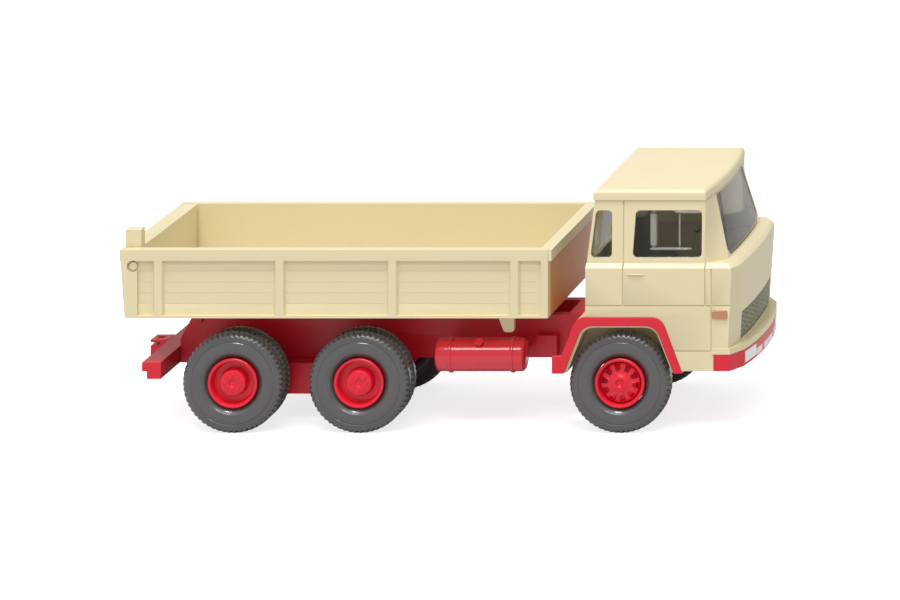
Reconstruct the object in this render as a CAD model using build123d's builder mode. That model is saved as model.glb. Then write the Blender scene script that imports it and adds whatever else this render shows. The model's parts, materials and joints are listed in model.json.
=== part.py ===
"""Three-axle cab-over tipper truck: a 1:87 moulded plastic scale model, in millimetres.

+X is forward, +Y is the left side, +Z is up, and Z = 0 is the ground under the tyres.
"""

import os

from build123d import *

os.makedirs("parts", exist_ok=True)

SIDES = (("right", -1), ("left", 1))

# Fits
SEAT_GAP = 0.03
RUN_GAP = 0.05
SWING_GAP = 0.20
REST_GAP = 0.10
CUT_OVER = 3.0

# Load bed
BED_HALF = 14.3
BED_FRONT = 14.65
BED_REAR = -39.15
GATE_LEAN = 0.65
SILL_H = 1.75
WALL_H = 8.5
RAIL_PROUD = 0.45
WALL_THICK = 1.05
RAIL_H = 1.35
FLOOR_THICK = 1.2
RIB_W = 1.45
RIB_X = (-34.35, -19.25, -5.2, 10.0)
RIB_BEVEL = 0.25
CORNER_POST_W = 0.9
REAR_POST_W = 1.55
LIP_H = 0.35
PLANKS = 5
PLANK_GROOVE = 0.03
SILL_OUT_Y = 4.6
SILL_W = 1.6
SILL_REAR = -29.4
SILL_FRONT = 10.5
TAB_X = 8.05
TAB_W = 2.25
TAB_DROP = 2.6
TAB_Y = 10.2
TAB_THICK = 0.9
TAB_TAPER = 1.0
TAB_ROUND = 0.4

# Wheels and axles
TYRE_R = 6.3
BEAD_R = 3.15
SHOULDER = 0.45
WHEEL_INSET = 0.7
FRONT_TYRE_W = 2.7
TWIN_TYRE_W = 2.3
TWIN_GAP = 0.3
RIM_LIP_W = 0.42
RIM_INSET = 0.2
DISH_DEPTH = 1.3
HUB_R = 1.65
HUB_BEVEL = 0.3
HUB_INSET = 0.35
DISC_R = 2.5
DISC_RISE = 0.5
NUT_R = 0.75
NUT_RISE = 0.25
VENTS = 10
VENT_RING_R = 2.05
VENT_R = 0.2
VENT_DEPTH = 0.5
AXLE_R = 0.75
AXLE_INSET = 1.5
FRONT_AXLE_X = 22.95
MIDDLE_AXLE_X = -9.6
REAR_AXLE_X = -25.35

# Chassis frame
RAIL_OUT_Y = 4.8
RAIL_THICK = 1.5
RAIL_TOP = 12.9
RAIL_DEPTH = 5.4
FRAME_REAR = -32.6
CROSS_LENGTH = 1.6
CROSS_X = (-29.0, -17.5, -3.0, 10.0, 22.95, 33.0)
DECK_THICK = 1.2

# Tail of the frame, rear crossbar and tow jaw
BAR_REAR = -36.6
BAR_LENGTH = 2.4
BAR_BOTTOM = 6.85
BAR_HEIGHT = 2.1
BAR_INSET = 0.9
BAR_STEP = 0.6
BAR_STEP_H = 0.95
TAIL_DROP = 3.0
JAW_LENGTH = 2.3
JAW_HALF = 1.5
JAW_SLOT = 0.4
JAW_SLOT_UP = 0.5
JAW_BORE_R = 0.5

# Axle carriers
BEAM_BOTTOM = 4.9
BEAM_OVERHANG = 1.8
TRUNNION_LENGTH = 5.2
TRUNNION_BOTTOM = 3.6
TRUNNION_OUT_Y = 7.6
FRONT_CARRIER_HALF = 6.5
FRONT_CARRIER_LENGTH = 3.6

# Side tanks and battery boxes
TANK_REAR = -0.45
TANK_LENGTH = 11.2
TANK_R = 2.08
TANK_INSET = 1.6
TANK_Z = 9.3
TANK_BEVEL = 0.25
STRAP_REAR_INSET = 1.9
STRAP_FRONT_INSET = 1.55
STRAP_W = 0.4
STRAP_RISE = 0.16
FILLER_R = 0.55
FILLER_RISE = 0.6
FILLER_LEAN = 0.8
BRACKET_W = 1.1
BRACKET_H = 1.5
BOX_REAR = 11.0
BOX_LENGTH = 2.6
BOX_INSET = 8.0
BOX_BOTTOM = 8.0
BOX_DROP = 2.3

# Tipping hinge of the bed
TIP_X = -31.75
TIP_Z = 12.3
TIP_PIN_R = 0.4
TIP_LUG_R = 0.8
TIP_LUG_THICK = 1.2
TIP_PIN_END = 0.25

# Tailgate
GATE_PIN_X = -37.5
GATE_PIN_DROP = 2.05
GATE_PIN_R = 0.5
GATE_BORE_R = 0.75
GATE_BORE_DEPTH = 0.5
GATE_THICK = 2.25
GATE_PIN_ROOT = 0.5
GATE_LIFT = 0.4
LUG_LENGTH = 2.0
LUG_INSET = 0.25
LUG_W = 1.6
LUG_RISE = 2.2

# Cab body
CAB_INSET = 0.3
CAB_WALL = 0.9
CAB_REAR = 18.8
CAB_BOTTOM = 8.0
BROW_Z = 19.6
WAIST = 20.8
LEDGE_H = 0.5
LEDGE_W = 0.55
UPPER_H = 7.75
EAVES_TUCK = 0.35
EAVES_RAKE = 1.0
NOSE_FOOT = 37.2
BROW_LEAN = 0.45
WAIST_LEAN = 0.45
FOOT_BOW = 0.45
WAIST_BOW = 0.6
LEDGE_SET = 0.45
SCREEN_SET = 1.4
CHIN_CUT_X = 0.75
CHIN_CUT_Y = 3.6
BROW_CUT_X = 0.7
BROW_CUT_Y = 1.6
SCREEN_RAKE = 2.15
SCREEN_BOW = 0.4
FOOT_CORNER_X = 2.75
FOOT_CORNER_Y = 2.35
HEAD_CORNER_X = 0.4
HEAD_CORNER_Y = 4.1
CAB_FLOOR = 14.4
CAB_FLOOR_THICK = 0.7
ROOF_H = 1.4
ROOF_OVERHANG = 0.2
ROOF_ROUND = 0.6

# Windows
GLASS_INSET = 0.12
GLASS_THICK = 0.5
SIDE_SILL = 0.7
SIDE_HEAD = 1.2
DOOR_GLASS_REAR = 24.55
DOOR_GLASS_FRONT = 33.2
DOOR_GLASS_RAKE = 0.4
QUARTER_FRONT = 22.0
QUARTER_PILLAR = 0.35
PANE_ROUND = 0.55
SCREEN_SILL = 0.15
SCREEN_HEAD = 0.1
SCREEN_BOTTOM_HALF = 10.65
SCREEN_TOP_HALF = 8.85
SCREEN_ROUND = 1.3
BACK_GLASS_IN = 1.6
BACK_GLASS_SIDE = 2.05

# Engraved door lines
LINE_W = 0.16
LINE_DEPTH = 0.14
DOOR_REAR = 23.45
DOOR_FRONT = 33.7
DOOR_BOTTOM = 16.15
SKIRT_LINE = 10.5
CORNER_PANEL = 2.7

# Wheel arches
ARCH_BOTTOM = 7.7
ARCH_TOP = 14.7
ARCH_TOP_HALF = 5.3
ARCH_BOTTOM_HALF = 7.95
ARCH_BAND = 1.1
ARCH_ROUND = 1.8
ARCH_PROUD = 0.15
ARCH_DEPTH = 0.5
LINER_THICK = 1.4
FLAP_OUT = 0.35
FLAP_W = 1.5
FLAP_H = 2.2
LINER_IN_Y = 9.4

# Bumper, lamps and grille
BUMPER_GAP = 0.3
BUMPER_STEP = 0.95
BUMPER_BOTTOM = 8.0
BUMPER_TOP = 10.05
BUMPER_PROUD = 0.1
BUMPER_THICK = 1.5
BUMPER_CUT_X = 1.3
BUMPER_CUT_Y = 2.65
BUMPER_BOW = 1.0
NOSE_LIP_H = 0.75
LAMP_IN_Y = 6.6
LAMP_OUT_Y = 11.0
LAMP_H = 1.5
LAMP_DEPTH = 0.7
GRILLE_SIDE = 4.0
GRILLE_BOTTOM = 11.0
GRILLE_TOP = 14.5
GRILLE_THICK = 0.6
GRILLE_INSET = 0.15
GRILLE_BORDER = 0.35
GRILLE_ROWS = 7
GRILLE_BAR = 0.2
GRILLE_RELIEF = 0.15
CORNER_LAMP_GAP = 0.1
CORNER_LAMP_LENGTH = 1.9
CORNER_LAMP_Z = 15.05
CORNER_LAMP_H = 1.0
CORNER_LAMP_PROUD = 0.2

# Cab interior
SEAT_LENGTH = 4.8
SEAT_W = 5.2
SEAT_Y = 6.6
SEAT_REAR = 21.2
SEAT_H = 3.2
BACK_H = 8.2
BACK_THICK = 1.3
TUNNEL_H = 2.4
DASH_SET = 3.65
DASH_LENGTH = 2.0
DASH_HALF = 11.2
DASH_DROP = 0.3
WHEEL_SET = 2.2
WHEEL_Z = 22.2
WHEEL_R = 2.1
WHEEL_WIRE = 0.22
COLUMN_R = 0.35
COLUMN_LENGTH = 6.0
COLUMN_RAKE = 35

# Places that follow from the sizes above
BED_BOTTOM = RAIL_TOP + SILL_H
BED_TOP = BED_BOTTOM + WALL_H
BED_REAR_BOTTOM = BED_REAR + GATE_LEAN
WALL_FRONT = BED_FRONT - RAIL_PROUD
WALL_OUT_Y = BED_HALF - RAIL_PROUD
WALL_IN_Y = WALL_OUT_Y - WALL_THICK
WALL_IN_X = WALL_FRONT - WALL_THICK
GATE_PIN_Z = BED_TOP - GATE_PIN_DROP
GATE_FRONT = BED_REAR + GATE_THICK
TYRE_OUTER_Y = BED_HALF - WHEEL_INSET
AXLE_HALF = TYRE_OUTER_Y - AXLE_INSET
RAIL_IN_Y = RAIL_OUT_Y - RAIL_THICK
RAIL_BOTTOM = RAIL_TOP - RAIL_DEPTH
BAR_FRONT = BAR_REAR + BAR_LENGTH
TANK_Y = BED_HALF - TANK_INSET - TANK_R
TANK_FRONT = TANK_REAR + TANK_LENGTH
STRAP_X = (TANK_REAR + STRAP_REAR_INSET, TANK_FRONT - STRAP_FRONT_INSET)
CAB_HALF = BED_HALF - CAB_INSET
CAB_UPPER_HALF = CAB_HALF - LEDGE_W
EAVES_HALF = CAB_UPPER_HALF - EAVES_TUCK
LEDGE_TOP = WAIST + LEDGE_H
EAVES = LEDGE_TOP + UPPER_H
EAVES_REAR = CAB_REAR + EAVES_RAKE
NOSE_BROW = NOSE_FOOT + BROW_LEAN
NOSE_WAIST = NOSE_FOOT + WAIST_LEAN
NOSE_LEDGE = NOSE_WAIST - LEDGE_SET
SCREEN_FOOT = NOSE_WAIST - SCREEN_SET
SCREEN_HEAD_X = SCREEN_FOOT - SCREEN_RAKE
SIDE_SILL_Z = LEDGE_TOP + SIDE_SILL
SIDE_HEAD_Z = EAVES - SIDE_HEAD
SCREEN_SILL_Z = LEDGE_TOP + SCREEN_SILL
SCREEN_HEAD_Z = EAVES - SCREEN_HEAD
CAB_FLOOR_TOP = CAB_FLOOR + CAB_FLOOR_THICK
FRAME_FRONT = NOSE_FOOT - CAB_WALL - SEAT_GAP
BUMPER_HALF = CAB_HALF + BUMPER_PROUD
BUMPER_FRONT = NOSE_FOOT + BUMPER_STEP
CORNER_LINE = NOSE_FOOT - CORNER_PANEL
NOSE_LIP_REAR = CORNER_LINE
BUMPER_REAR = CORNER_LINE + BUMPER_GAP
CORNER_LAMP_REAR = CORNER_LINE + CORNER_LAMP_GAP
GRILLE_HALF = CAB_HALF - GRILLE_SIDE
BACK_GLASS_OUT = CAB_UPPER_HALF - BACK_GLASS_SIDE
DASH_REAR = SCREEN_FOOT - DASH_SET
WHEEL_X = DASH_REAR - WHEEL_SET

# Plan sections of the cab: (height, rear x, half width, nose x at its corners, nose bow, corner x, corner y)
CAB_LOWER = (
    (CAB_BOTTOM, CAB_REAR, CAB_HALF, NOSE_FOOT, FOOT_BOW, CHIN_CUT_X, CHIN_CUT_Y),
    (BROW_Z, CAB_REAR, CAB_HALF, NOSE_BROW, WAIST_BOW, BROW_CUT_X, BROW_CUT_Y),
    (WAIST, CAB_REAR, CAB_HALF, NOSE_WAIST, WAIST_BOW, BROW_CUT_X, BROW_CUT_Y),
)
CAB_LEDGE = (
    (WAIST, CAB_REAR, CAB_HALF, NOSE_WAIST, WAIST_BOW, BROW_CUT_X, BROW_CUT_Y),
    (LEDGE_TOP, CAB_REAR, CAB_UPPER_HALF, NOSE_LEDGE, WAIST_BOW, BROW_CUT_X, BROW_CUT_Y),
)
CAB_UPPER = (
    (WAIST, CAB_REAR, CAB_UPPER_HALF, SCREEN_FOOT, SCREEN_BOW, FOOT_CORNER_X, FOOT_CORNER_Y),
    (EAVES, EAVES_REAR, EAVES_HALF, SCREEN_HEAD_X, SCREEN_BOW, HEAD_CORNER_X, HEAD_CORNER_Y),
)
CAB_ROOF = (
    (EAVES + SEAT_GAP, EAVES_REAR, EAVES_HALF, SCREEN_HEAD_X, SCREEN_BOW, HEAD_CORNER_X, HEAD_CORNER_Y),
    (EAVES + ROOF_H, EAVES_REAR, EAVES_HALF, SCREEN_HEAD_X, SCREEN_BOW, HEAD_CORNER_X, HEAD_CORNER_Y),
)
BUMPER_BAND = (
    (BUMPER_BOTTOM, BUMPER_REAR, BUMPER_HALF, BUMPER_FRONT, BUMPER_BOW, BUMPER_CUT_X, BUMPER_CUT_Y),
    (BUMPER_TOP, BUMPER_REAR, BUMPER_HALF, BUMPER_FRONT, BUMPER_BOW, BUMPER_CUT_X, BUMPER_CUT_Y),
)
LIP_BOTTOM = BUMPER_TOP + SEAT_GAP
LIP_TOP = LIP_BOTTOM + NOSE_LIP_H
NOSE_LIP = (
    (LIP_BOTTOM, NOSE_LIP_REAR, BUMPER_HALF, BUMPER_FRONT, BUMPER_BOW, BUMPER_CUT_X, BUMPER_CUT_Y),
    (LIP_TOP, NOSE_LIP_REAR, BUMPER_HALF, BUMPER_FRONT, BUMPER_BOW, BUMPER_CUT_X, BUMPER_CUT_Y),
)


def across(x, z):
    """Axis along the vehicle's width through a point of its side view."""
    return Axis((x, 0, z), (0, 1, 0))


def side_plane(y):
    """Side-view plane at a distance to the left, with X right and Z up, facing the right side."""
    return Plane(origin=(0, y, 0), x_dir=(1, 0, 0), z_dir=(0, -1, 0))


def front_plane(x):
    """Cross-section plane at a distance forward, with Y right and Z up."""
    return Plane(origin=(x, 0, 0), x_dir=(0, 1, 0), z_dir=(1, 0, 0))


def nose_block(sections, rear_in=0.0, side_in=0.0, nose_in=0.0):
    """Solid through plan sections with cut front corners and a bowed nose, each edge moved in as asked."""
    with BuildPart() as block:
        for height, rear, half, nose, bow, corner_x, corner_y in sections:
            back, out, tip = rear + rear_in, half - side_in, nose - nose_in
            with BuildSketch(Plane.XY.offset(height)):
                with BuildLine():
                    Polyline(
                        (tip, corner_y - out),
                        (tip - corner_x, -out),
                        (back, -out),
                        (back, out),
                        (tip - corner_x, out),
                        (tip, out - corner_y),
                    )
                    ThreePointArc((tip, out - corner_y), (tip + bow, 0), (tip, corner_y - out))
                make_face()
        loft(ruled=True)
    return block.part


# Tyres, rims and axles of the three wheel sets: (name, axle x, tyre widths from the outside in)
WHEEL_SETS = (
    ("front", FRONT_AXLE_X, (FRONT_TYRE_W,)),
    ("middle", MIDDLE_AXLE_X, (TWIN_TYRE_W, TWIN_TYRE_W)),
    ("rear", REAR_AXLE_X, (TWIN_TYRE_W, TWIN_TYRE_W)),
)

for set_name, axle_x, widths in WHEEL_SETS:
    hub_centre = (axle_x, 0, TYRE_R)
    axle_line = across(axle_x, TYRE_R)
    twin = len(widths) > 1
    rim_out = TYRE_OUTER_Y - RIM_INSET
    rim_in = TYRE_OUTER_Y - sum(widths) - TWIN_GAP * (len(widths) - 1) + RIM_INSET
    for side_name, side in SIDES:
        radial = Plane(origin=hub_centre, x_dir=(0, side, 0), z_dir=(side, 0, 0))
        outward = Plane(origin=hub_centre, x_dir=(1, 0, 0), z_dir=(0, side, 0))

        with BuildPart() as tyre:
            outer = TYRE_OUTER_Y
            for width in widths:
                inner = outer - width
                with BuildSketch(radial):
                    with BuildLine():
                        Polyline(
                            (outer, BEAD_R),
                            (outer, TYRE_R - SHOULDER),
                            (outer - SHOULDER, TYRE_R),
                            (inner + SHOULDER, TYRE_R),
                            (inner, TYRE_R - SHOULDER),
                            (inner, BEAD_R),
                            close=True,
                        )
                    make_face()
                revolve(axis=axle_line)
                outer = inner - TWIN_GAP
        tyre.part.label = f"{set_name}_tyre_{side_name}"
        export_step(tyre.part, f"parts/{set_name}_tyre_{side_name}.step")

        dish_r = BEAD_R - RIM_LIP_W
        hub_face = TYRE_OUTER_Y - HUB_INSET
        dish_y = rim_out - DISH_DEPTH
        disc_y = rim_out - DISC_RISE
        if twin:
            face = [
                (hub_face, 0),
                (hub_face, HUB_R - HUB_BEVEL),
                (hub_face - HUB_BEVEL, HUB_R),
                (dish_y, HUB_R),
                (dish_y, dish_r),
            ]
        else:
            face = [
                (rim_out, 0),
                (rim_out, NUT_R),
                (rim_out - NUT_RISE, NUT_R),
                (disc_y, DISC_R),
                (disc_y - DISC_RISE, DISC_R),
                (disc_y - DISC_RISE, dish_r),
            ]
        with BuildPart() as rim:
            with BuildSketch(radial):
                with BuildLine():
                    barrel_r = BEAD_R - SEAT_GAP
                    Polyline(
                        *face,
                        (rim_out, dish_r),
                        (rim_out, barrel_r),
                        (rim_in, barrel_r),
                        (rim_in, 0),
                        close=True,
                    )
                make_face()
            revolve(axis=axle_line)
            with BuildSketch(outward):
                Circle(AXLE_R + SEAT_GAP)
            extrude(amount=AXLE_HALF + SEAT_GAP, mode=Mode.SUBTRACT)
            if not twin:
                with BuildSketch(outward.offset(disc_y - VENT_DEPTH)):
                    with PolarLocations(VENT_RING_R, VENTS):
                        Circle(VENT_R)
                extrude(amount=DISC_RISE + VENT_DEPTH, mode=Mode.SUBTRACT)
        rim.part.label = f"{set_name}_rim_{side_name}"
        export_step(rim.part, f"parts/{set_name}_rim_{side_name}.step")

    with BuildPart() as axle:
        with BuildSketch(Plane(origin=hub_centre, x_dir=(1, 0, 0), z_dir=(0, 1, 0))):
            Circle(AXLE_R)
        extrude(amount=AXLE_HALF, both=True)
    axle.part.label = f"{set_name}_axle"
    export_step(axle.part, f"parts/{set_name}_axle.step")


# Chassis frame: two deep rails with cross members, a deck behind the cab and a dropped tail
with BuildPart() as frame:
    for _, side in SIDES:
        with BuildSketch(side_plane(side * (RAIL_OUT_Y + RAIL_IN_Y) / 2)):
            with BuildLine():
                Polyline(
                    (FRAME_FRONT, RAIL_TOP),
                    (FRAME_REAR, RAIL_TOP),
                    (BAR_FRONT, RAIL_TOP - TAIL_DROP),
                    (BAR_FRONT, BAR_BOTTOM),
                    (BAR_FRONT + RAIL_THICK, BAR_BOTTOM),
                    (FRAME_REAR + RAIL_DEPTH, RAIL_BOTTOM),
                    (FRAME_FRONT, RAIL_BOTTOM),
                    close=True,
                )
            make_face()
        extrude(amount=RAIL_THICK / 2, both=True)
    for x in CROSS_X:
        with Locations((x, 0, (RAIL_TOP + RAIL_BOTTOM) / 2)):
            Box(CROSS_LENGTH, 2 * RAIL_OUT_Y, RAIL_DEPTH - RAIL_THICK)
    with Locations(((BED_FRONT + CAB_REAR) / 2, 0, RAIL_TOP - DECK_THICK / 2)):
        Box(CAB_REAR - BED_FRONT, 2 * RAIL_OUT_Y, DECK_THICK)
    cab_seat = CAB_FLOOR - SEAT_GAP
    with Locations((FRONT_AXLE_X, 0, (RAIL_TOP + cab_seat) / 2)):
        Box(FRONT_CARRIER_LENGTH, 2 * RAIL_OUT_Y, cab_seat - RAIL_TOP)
    box_out = BED_HALF - BOX_INSET
    box_top = RAIL_TOP - BOX_DROP
    for _, side in SIDES:
        for x in STRAP_X:
            with Locations((x, side * (RAIL_OUT_Y + TANK_Y) / 2, TANK_Z)):
                Box(BRACKET_W, TANK_Y - RAIL_OUT_Y, BRACKET_H)
        box_middle = (BOX_REAR + BOX_LENGTH / 2, side * (RAIL_IN_Y + box_out) / 2, (BOX_BOTTOM + box_top) / 2)
        with Locations(box_middle):
            Box(BOX_LENGTH, box_out - RAIL_IN_Y, box_top - BOX_BOTTOM)
        with BuildSketch(front_plane(TANK_REAR - SEAT_GAP)):
            with Locations((side * TANK_Y, TANK_Z)):
                Circle(TANK_R + STRAP_RISE + SEAT_GAP)
        extrude(amount=TANK_LENGTH + 2 * SEAT_GAP, mode=Mode.SUBTRACT)
    with BuildSketch(side_plane(0)):
        with Locations((TIP_X, TIP_Z)):
            Circle(TIP_PIN_R + SEAT_GAP)
    extrude(amount=BED_HALF, both=True, mode=Mode.SUBTRACT)
frame.part.label = "chassis_frame"
export_step(frame.part, "parts/chassis_frame.step")


# Rear crossbar: a full-width bar on the ends of the dropped tail, stepped along its lower rear edge
with BuildPart() as crossbar:
    bar_rear = BAR_REAR - SEAT_GAP
    bar_front = BAR_FRONT - SEAT_GAP
    with BuildSketch(side_plane(0)):
        with BuildLine():
            Polyline(
                (bar_rear, BAR_BOTTOM + BAR_HEIGHT),
                (bar_front, BAR_BOTTOM + BAR_HEIGHT),
                (bar_front, BAR_BOTTOM),
                (bar_rear + BAR_STEP, BAR_BOTTOM),
                (bar_rear + BAR_STEP, BAR_BOTTOM + BAR_STEP_H),
                (bar_rear, BAR_BOTTOM + BAR_STEP_H),
                close=True,
            )
        make_face()
    extrude(amount=BED_HALF - BAR_INSET, both=True)
crossbar.part.label = "rear_crossbar"
export_step(crossbar.part, "parts/rear_crossbar.step")


# Tow jaw: a slotted block behind the crossbar with an upright bore for the drawbar pin
with BuildPart() as jaw:
    jaw_front = BAR_REAR - 2 * SEAT_GAP
    jaw_z = BAR_BOTTOM + BAR_HEIGHT / 2
    with Locations((jaw_front - JAW_LENGTH / 2, 0, jaw_z)):
        Box(JAW_LENGTH, 2 * JAW_HALF, BAR_HEIGHT)
    with Locations((jaw_front - JAW_LENGTH, 0, jaw_z + JAW_SLOT_UP)):
        Box(4 * JAW_BORE_R + JAW_SLOT, 2 * JAW_HALF, JAW_SLOT, mode=Mode.SUBTRACT)
    with Locations((jaw_front - JAW_LENGTH + 2 * JAW_BORE_R, 0, jaw_z)):
        Cylinder(JAW_BORE_R, BAR_HEIGHT, mode=Mode.SUBTRACT)
jaw.part.label = "tow_jaw"
export_step(jaw.part, "parts/tow_jaw.step")


# Rear axle carrier: one beam across both driven axles with a deep trunnion block between them
with BuildPart() as bogie:
    beam_rear = REAR_AXLE_X - BEAM_OVERHANG
    beam_front = MIDDLE_AXLE_X + BEAM_OVERHANG
    beam_top = RAIL_BOTTOM - SEAT_GAP
    with Locations(((beam_rear + beam_front) / 2, 0, (BEAM_BOTTOM + beam_top) / 2)):
        Box(beam_front - beam_rear, 2 * RAIL_OUT_Y, beam_top - BEAM_BOTTOM)
    with Locations(((beam_rear + beam_front) / 2, 0, (TRUNNION_BOTTOM + beam_top) / 2)):
        Box(TRUNNION_LENGTH, 2 * TRUNNION_OUT_Y, beam_top - TRUNNION_BOTTOM)
    with BuildSketch(side_plane(0)):
        with Locations((REAR_AXLE_X, TYRE_R), (MIDDLE_AXLE_X, TYRE_R)):
            Circle(AXLE_R + RUN_GAP)
    extrude(amount=BED_HALF, both=True, mode=Mode.SUBTRACT)
bogie.part.label = "rear_axle_carrier"
export_step(bogie.part, "parts/rear_axle_carrier.step")


# Front axle carrier: a block under the rails with the axle's bearing
with BuildPart() as front_carrier:
    with Locations((FRONT_AXLE_X, 0, (BEAM_BOTTOM + RAIL_BOTTOM - SEAT_GAP) / 2)):
        Box(FRONT_CARRIER_LENGTH, 2 * FRONT_CARRIER_HALF, RAIL_BOTTOM - SEAT_GAP - BEAM_BOTTOM)
    with BuildSketch(side_plane(0)):
        with Locations((FRONT_AXLE_X, TYRE_R)):
            Circle(AXLE_R + RUN_GAP)
    extrude(amount=BED_HALF, both=True, mode=Mode.SUBTRACT)
front_carrier.part.label = "front_axle_carrier"
export_step(front_carrier.part, "parts/front_axle_carrier.step")


# Side tanks: a round tank in two straps with a filler neck on top
for side_name, side in SIDES:
    with BuildPart() as tank:
        with BuildSketch(front_plane(TANK_REAR)):
            with Locations((side * TANK_Y, TANK_Z)):
                Circle(TANK_R)
        extrude(amount=TANK_LENGTH)
        chamfer(tank.edges().filter_by(GeomType.CIRCLE), TANK_BEVEL)
        for x in STRAP_X:
            with BuildSketch(front_plane(x - STRAP_W / 2)):
                with Locations((side * TANK_Y, TANK_Z)):
                    Circle(TANK_R + STRAP_RISE)
            extrude(amount=STRAP_W)
        tank_middle = ((TANK_REAR + TANK_FRONT) / 2, side * TANK_Y, TANK_Z)
        with BuildSketch(Plane(origin=tank_middle, x_dir=(1, 0, 0), z_dir=(0, side * FILLER_LEAN, 1))):
            Circle(FILLER_R)
        extrude(amount=TANK_R + FILLER_RISE)
    tank.part.label = f"side_tank_{side_name}"
    export_step(tank.part, f"parts/side_tank_{side_name}.step")


# Pin of the tipping hinge: a rod through both rails
with BuildPart() as tip_pin:
    with BuildSketch(side_plane(0)):
        with Locations((TIP_X, TIP_Z)):
            Circle(TIP_PIN_R)
    extrude(amount=RAIL_OUT_Y + TIP_PIN_END, both=True)
tip_pin.part.label = "tipping_pin"
export_step(tip_pin.part, "parts/tipping_pin.step")


# Bed floor: the plate with two long sills, the hinge lugs and the front locating tabs
with BuildPart() as bed_floor:
    floor_rear = GATE_FRONT + SWING_GAP
    floor_front = WALL_IN_X - SEAT_GAP
    with Locations(((floor_rear + floor_front) / 2, 0, BED_BOTTOM + FLOOR_THICK / 2)):
        Box(floor_front - floor_rear, 2 * (WALL_IN_Y - SEAT_GAP), FLOOR_THICK)
    sill_bottom = RAIL_TOP + REST_GAP
    for _, side in SIDES:
        sill_y = side * (SILL_OUT_Y - SILL_W / 2)
        with Locations(((SILL_REAR + SILL_FRONT) / 2, sill_y, (sill_bottom + BED_BOTTOM) / 2)):
            Box(SILL_FRONT - SILL_REAR, SILL_W, BED_BOTTOM - sill_bottom)
        with BuildSketch(side_plane(side * (RAIL_IN_Y - SWING_GAP - TIP_LUG_THICK / 2))):
            with Locations((TIP_X, TIP_Z)):
                Circle(TIP_LUG_R)
            with Locations((TIP_X, (TIP_Z + BED_BOTTOM) / 2)):
                Rectangle(2 * TIP_LUG_R, BED_BOTTOM - TIP_Z)
        extrude(amount=TIP_LUG_THICK / 2, both=True)
        with BuildSketch(side_plane(side * TAB_Y)):
            with BuildLine():
                Polyline(
                    (TAB_X - TAB_W / 2, BED_BOTTOM),
                    (TAB_X + TAB_W / 2, BED_BOTTOM),
                    (TAB_X + TAB_W / 2, BED_BOTTOM - TAB_DROP),
                    (TAB_X - TAB_W / 2 + TAB_TAPER, BED_BOTTOM - TAB_DROP),
                    close=True,
                )
            make_face()
            fillet(vertices().group_by(Axis.Y)[0], TAB_ROUND)
        extrude(amount=TAB_THICK / 2, both=True)
    with BuildSketch(side_plane(0)):
        with Locations((TIP_X, TIP_Z)):
            Circle(TIP_PIN_R + RUN_GAP)
    extrude(amount=BED_HALF, both=True, mode=Mode.SUBTRACT)
bed_floor.part.label = "bed_floor"
export_step(bed_floor.part, "parts/bed_floor.step")


# Bed sides: planked walls under a top rail, with upright ribs, a bottom lip and the gate's pin holes
for side_name, side in SIDES:
    with BuildPart() as bed_side:
        with BuildSketch(side_plane(side * WALL_IN_Y)):
            with BuildLine():
                Polyline(
                    (WALL_FRONT, BED_BOTTOM),
                    (WALL_FRONT, BED_TOP),
                    (BED_REAR, BED_TOP),
                    (BED_REAR_BOTTOM, BED_BOTTOM),
                    close=True,
                )
            make_face()
        extrude(amount=-side * WALL_THICK)
        plank_h = (WALL_H - RAIL_H - LIP_H) / PLANKS
        plank_length = WALL_FRONT - BED_REAR_BOTTOM - 2 * REAR_POST_W
        for plank in range(1, PLANKS):
            groove_z = BED_BOTTOM + LIP_H + plank * plank_h
            with Locations(((WALL_FRONT + BED_REAR_BOTTOM) / 2, side * WALL_OUT_Y, groove_z)):
                Box(plank_length, 2 * PLANK_GROOVE, PLANK_GROOVE, mode=Mode.SUBTRACT)
        with BuildSketch(side_plane(side * WALL_OUT_Y)):
            with Locations(((WALL_FRONT + BED_REAR) / 2, BED_TOP - RAIL_H / 2)):
                Rectangle(WALL_FRONT - BED_REAR, RAIL_H)
            with Locations(((WALL_FRONT + BED_REAR_BOTTOM) / 2, BED_BOTTOM + LIP_H / 2)):
                Rectangle(WALL_FRONT - BED_REAR_BOTTOM, LIP_H)
            with Locations((WALL_FRONT - CORNER_POST_W / 2, (BED_BOTTOM + BED_TOP) / 2)):
                Rectangle(CORNER_POST_W, WALL_H)
            with BuildLine():
                Polyline(
                    (BED_REAR, BED_TOP),
                    (BED_REAR_BOTTOM + REAR_POST_W, BED_TOP),
                    (BED_REAR_BOTTOM + REAR_POST_W, BED_BOTTOM),
                    (BED_REAR_BOTTOM, BED_BOTTOM),
                    close=True,
                )
            make_face()
        extrude(amount=-side * RAIL_PROUD)
        for x in RIB_X:
            foot, crest = RIB_W / 2, RIB_W / 2 - RIB_BEVEL
            with BuildSketch(Plane.XY.offset(BED_BOTTOM)):
                with BuildLine():
                    Polyline(
                        (x - foot, side * WALL_OUT_Y),
                        (x + foot, side * WALL_OUT_Y),
                        (x + crest, side * BED_HALF),
                        (x - crest, side * BED_HALF),
                        close=True,
                    )
                make_face()
            extrude(amount=WALL_H)
        for radius, start in ((GATE_PIN_R + RUN_GAP, WALL_IN_Y), (GATE_BORE_R, BED_HALF - GATE_BORE_DEPTH)):
            with BuildSketch(side_plane(side * start)):
                with Locations((GATE_PIN_X, GATE_PIN_Z)):
                    Circle(radius)
            extrude(amount=-side * (BED_HALF - start), mode=Mode.SUBTRACT)
    bed_side.part.label = f"bed_side_{side_name}"
    export_step(bed_side.part, f"parts/bed_side_{side_name}.step")


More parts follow.
